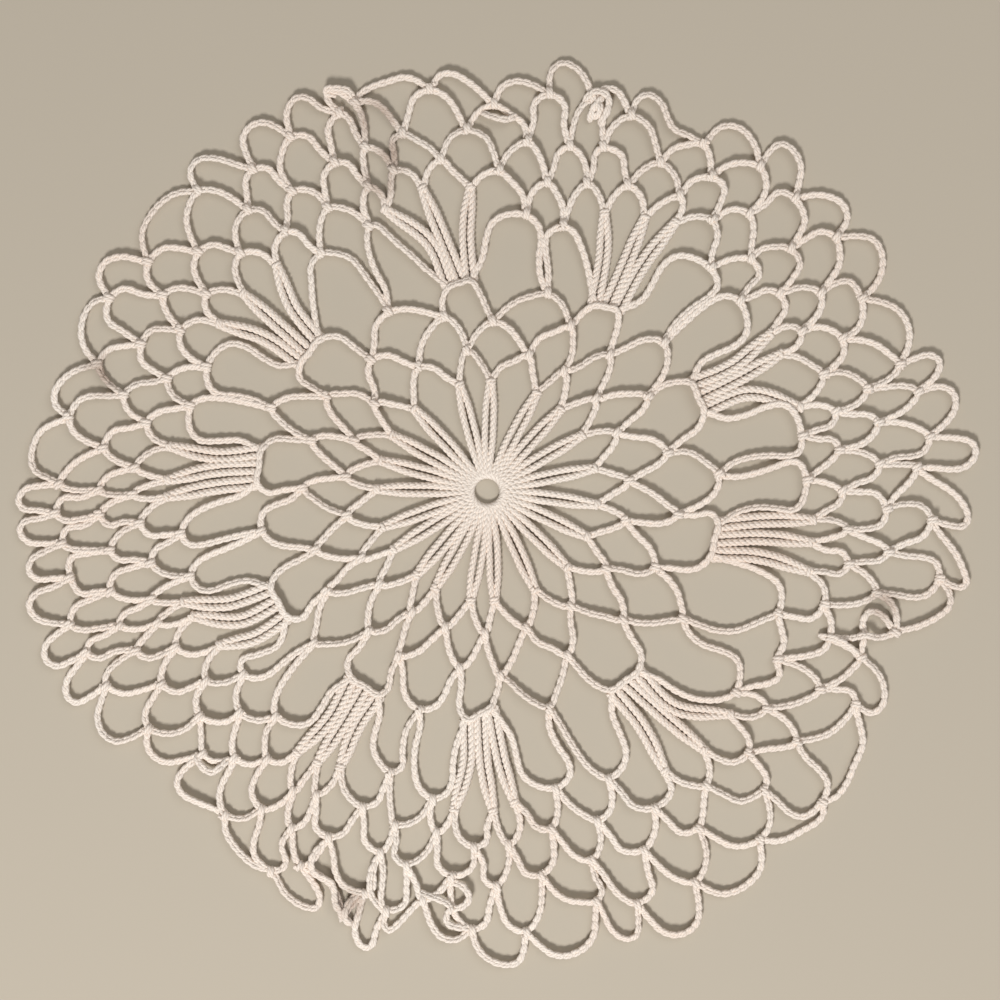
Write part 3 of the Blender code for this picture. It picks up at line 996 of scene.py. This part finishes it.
@lru_cache
def cotton_thread(colour, shade):
    """Matte three-ply crochet cotton, spun and then plied."""
    # To the eye it is off-white with no gloss, a little warmer in places and greyer in spots of
    # painted shade. Shade between the plies is painted into the colour as well, so they show as
    # soft slanting bands, and the nap takes the edge off them.
    material = bpy.data.materials.new("matte three-ply crochet cotton")
    material.use_nodes = True
    tree = material.node_tree
    shader = tree.nodes["Principled BSDF"]
    along = add_node(tree, "ShaderNodeAttribute", {"attribute_name": "along"}).outputs["Fac"]
    rim = add_node(tree, "ShaderNodeAttribute", {"attribute_name": "round"}).outputs["Vector"]
    x, y = add_node(tree, "ShaderNodeSeparateXYZ", Vector=rim).outputs[:2]
    sum_node, add_product = "ShaderNodeMath", {"operation": "MULTIPLY_ADD"}
    angle = add_node(tree, sum_node, {"operation": "ARCTAN2"}, i0=y, i1=x).outputs[0]
    per_metre = math.tau / (PLY_TURN * MM)
    turned = add_node(tree, sum_node, add_product, i0=along, i1=per_metre, i2=angle).outputs[0]
    halved = add_node(tree, sum_node, {"operation": "MULTIPLY"}, i0=turned, i1=PLIES / 2)
    wave = add_node(tree, sum_node, {"operation": "SINE"}, i0=halved.outputs[0])
    crown = add_node(tree, sum_node, {"operation": "ABSOLUTE"}, i0=wave.outputs[0]).outputs[0]
    place_on = add_node(tree, "ShaderNodeTexCoord").outputs["Object"]
    noise, ramp, mixer = "ShaderNodeTexNoise", "ShaderNodeMapRange", "ShaderNodeMix"
    patches = add_node(tree, noise, Vector=place_on, Scale=1 / (PATCH * MM), Detail=PATCH_DETAIL)
    nap = add_node(tree, noise, Vector=place_on, Scale=1 / (NAP * MM), Detail=NAP_DETAIL)
    # Painted shade: the grooves between the plies are darkened towards the shade colour, paling up
    # each ply's crown.
    groove_shade_mask = add_node(tree, ramp, Value=crown, From_Max=GROOVE_EDGE, To_Min=GROOVE_PALE)
    mix = add_node(tree, mixer, {"data_type": "RGBA"}, i0=groove_shade_mask.outputs[0], i6=shade, i7=colour)
    tinting = {"data_type": "RGBA", "blend_type": "MULTIPLY"}
    patch, base = patches.outputs[0], mix.outputs[2]
    tint = add_node(tree, mixer, tinting, i0=patch, i6=base, i7=linear(PATCH_TINT)).outputs[2]
    # Painted shade: spots where strands lie in shade are greyed towards the spot tint.
    shade_spot_mask = 0.0
    for bearing, reach, spread in SHADE_SPOTS:
        middle = (place((bearing, reach)) + lace_net().centre).to_3d() * MM
        away = add_node(
            tree, "ShaderNodeVectorMath", {"operation": "DISTANCE"}, i0=place_on, i1=middle
        )
        here = add_node(
            tree,
            ramp,
            {"interpolation_type": "SMOOTHSTEP"},
            Value=away.outputs["Value"],
            From_Max=spread * MM,
            To_Min=1.0,
            To_Max=0.0,
        ).outputs[0]
        shade_spot_mask = add_node(tree, sum_node, {"operation": "MAXIMUM"}, i0=shade_spot_mask, i1=here).outputs[0]
    shade_spot_mix = add_node(tree, mixer, tinting, i0=shade_spot_mask, i6=tint, i7=linear(SHADE_SPOT_TINT))
    height = add_node(tree, sum_node, add_product, i0=nap.outputs[0], i1=NAP_SHARE, i2=crown)
    deep, height = PLY_DEEP * MM, height.outputs[0]
    bump = add_node(tree, "ShaderNodeBump", Strength=PLY_BUMP, Distance=deep, Height=height)
    tree.links.new(shade_spot_mix.outputs[2], shader.inputs["Base Color"])
    tree.links.new(bump.outputs[0], shader.inputs["Normal"])
    shader.inputs["Roughness"].default_value = COTTON_ROUGH
    shader.inputs["Specular IOR Level"].default_value = COTTON_SHINE
    shader.inputs["Sheen Weight"].default_value = SHEEN
    shader.inputs["Sheen Roughness"].default_value = SHEEN_ROUGH
    return material


def declare_sheet(net, sections):
    """Works out what flat size of lace a piece is, out to the edge of its outer strands: the turn
    of the box that fits it best, and the area of its own outline. Nothing is done with them."""
    near = {loop.section: [] for loop in net.loops}
    for loop in net.loops:
        near[loop.section] += [net.at[station] * MM for station in loop.path()]
    points = [point for section in sections for point in near[section]]
    turn = box_fit_2d(points)
    hull = [points[i] for i in convex_hull_2d(points)]
    sides = list(zip(hull, rotated(hull)))
    edge = CHAIN_HALF * MM
    area = abs(sum(a.cross(b) for a, b in sides)) / 2 + sum((b - a).length for a, b in sides) * edge


def lace_piece(context, name, sections, yarns):
    sizes, colours = context.scene.doily_sizes, context.scene.doily_colours
    material = cotton_thread(tuple(colours.thread), tuple(colours.groove_shade))
    piece = yarn_piece(name, yarns, sizes.thickness, material)
    declare_sheet(lace_net(), sections)


class DoilySizes(bpy.types.PropertyGroup):
    """Sizes of the doily's yarn and stitches, and of the stage."""

    thickness: FloatProperty(
        name="Yarn thickness",
        description="How thick the crochet cotton is",
        default=0.0012,
        min=0.0003,
        unit="LENGTH",
    )
    stitch: FloatProperty(
        name="Chain stitch",
        description="How long one chain stitch is",
        default=0.0024,
        min=0.001,
        unit="LENGTH",
    )
    twist: FloatProperty(
        name="Tall stitch twist",
        description="The length over which the strands of a tall stitch turn once round",
        default=0.0048,
        min=0.002,
        unit="LENGTH",
    )
    floor: FloatProperty(
        name="Floor width",
        description="How wide and long the floor is",
        default=3,
        min=0.3,
        unit="LENGTH",
    )
    view: FloatProperty(
        name="View width",
        description="The width of what the camera takes in",
        default=0.27,
        min=0.01,
        unit="LENGTH",
    )


class DoilyColours(bpy.types.PropertyGroup):
    """Colours of the doily and of what it lies on."""

    thread: FloatVectorProperty(
        name="Thread",
        description="The colour of the cotton",
        default=linear("#F8F1E7"),
        size=4,
        subtype="COLOR",
    )
    # Painted shade: the colour painted into the grooves between the plies, where shade falls.
    groove_shade: FloatVectorProperty(
        name="Groove",
        description="The colour of the cotton between its plies",
        default=linear("#D6C9BC"),
        size=4,
        subtype="COLOR",
    )
    floor: FloatVectorProperty(
        name="Floor",
        description="The colour of the floor",
        default=linear("#BDB3A3"),
        size=4,
        subtype="COLOR",
    )


class DOILY_OT_centre(bpy.types.Operator):
    """Crochet the centre ring, the ring of stitch pairs and rounds two to four"""

    bl_idname = "doily.centre"
    bl_label = "Crochet the Centre"

    def execute(self, context):
        net, sizes = lace_net(), context.scene.doily_sizes
        noise = random.Random(CENTRE_SEED)
        yarns = [ring_yarn(net), *section_yarns(net, [CENTRE], sizes, noise)]
        lace_piece(context, "lace_centre", [CENTRE], yarns)
        return {"FINISHED"}


class DOILY_OT_outer(bpy.types.Operator):
    """Crochet rounds five to nine, as five pieces of two sections each"""

    bl_idname = "doily.outer"
    bl_label = "Crochet the Outer Rounds"

    def execute(self, context):
        net, sizes = lace_net(), context.scene.doily_sizes
        for first in range(0, SECTIONS, 2):
            sections = [first, first + 1]
            number = first // 2 + 1
            noise = random.Random(first)
            yarns = list(section_yarns(net, sections, sizes, noise))
            folds = [fold for owner, fold in FOLDS if owner == number]
            yarns += [fold_yarn(net, fold, sizes, noise) for fold in folds]
            lace_piece(context, f"lace_outer_{number}", sections, yarns)
        return {"FINISHED"}


class DOILY_OT_stage(bpy.types.Operator):
    """Set up the floor, the lights and the camera"""

    bl_idname = "doily.stage"
    bl_label = "Set the Stage"

    def execute(self, context):
        sizes, colours = context.scene.doily_sizes, context.scene.doily_colours
        floor = bpy.data.meshes.new("floor")
        bm = bmesh.new()
        bmesh.ops.create_grid(bm, x_segments=1, y_segments=1, size=sizes.floor / 2)
        bm.to_mesh(floor)
        bm.free()
        floor.materials.append(matte_paper(tuple(colours.floor)))
        floor = bpy.data.objects.new("floor", floor)
        context.scene.collection.objects.link(floor)
        camera = bpy.data.cameras.new("camera")
        camera.sensor_width = SENSOR
        camera.lens = SENSOR * CAMERA_HIGH / sizes.view
        camera = bpy.data.objects.new("camera", camera)
        camera.location = (lace_net().centre + CAMERA_ASIDE).to_3d() * MM + UP * CAMERA_HIGH
        context.scene.collection.objects.link(camera)
        context.scene.camera = camera
        self.light(context, "key", *KEY_LIGHT)
        self.light(context, "fill", *FILL_LIGHT)
        world = bpy.data.worlds.new("pale room")
        world.use_nodes = True
        background = world.node_tree.nodes["Background"]
        background.inputs["Color"].default_value = linear(ROOM)
        background.inputs["Strength"].default_value = ROOM_STRENGTH
        context.scene.world = world
        context.scene.view_settings.view_transform = "Standard"
        return {"FINISHED"}

    def light(self, context, name, at, size, power):
        light = bpy.data.lights.new(name, "AREA")
        light.size = size
        light.energy = power
        light = bpy.data.objects.new(name, light)
        light.location = at
        light.rotation_euler = at.to_track_quat("Z", "Y").to_euler()
        context.scene.collection.objects.link(light)


def matte_paper(colour):
    """Matte uncoated backdrop paper."""
    # To the eye it is one even, pale colour with no gloss and no grain.
    material = bpy.data.materials.new("matte backdrop paper")
    material.use_nodes = True
    shader = material.node_tree.nodes["Principled BSDF"]
    shader.inputs["Base Color"].default_value = colour
    shader.inputs["Roughness"].default_value = PAPER_ROUGH
    shader.inputs["Specular IOR Level"].default_value = PAPER_SHINE
    return material


class DOILY_PT_panel(bpy.types.Panel):
    """The doily's sizes, colours and pieces"""

    bl_idname = "DOILY_PT_panel"
    bl_label = "Crocheted Doily"
    bl_space_type = "VIEW_3D"
    bl_region_type = "UI"
    bl_category = "Doily"

    def draw(self, context):
        for group in (context.scene.doily_sizes, context.scene.doily_colours):
            for name in group.__annotations__:
                self.layout.prop(group, name)
        for operator in OPERATORS:
            self.layout.operator(operator.bl_idname)


OPERATORS = (DOILY_OT_centre, DOILY_OT_outer, DOILY_OT_stage)
CLASSES = (DoilySizes, DoilyColours, *OPERATORS, DOILY_PT_panel)


def register():
    for cls in CLASSES:
        bpy.utils.register_class(cls)
    bpy.types.Scene.doily_sizes = PointerProperty(type=DoilySizes)
    bpy.types.Scene.doily_colours = PointerProperty(type=DoilyColours)


def unregister():
    del bpy.types.Scene.doily_colours
    del bpy.types.Scene.doily_sizes
    for cls in reversed(CLASSES):
        bpy.utils.unregister_class(cls)


def main():
    register()
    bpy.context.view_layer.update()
    bpy.ops.doily.centre()
    bpy.ops.doily.outer()
    bpy.ops.doily.stage()


if __name__ == "__main__":
    main()
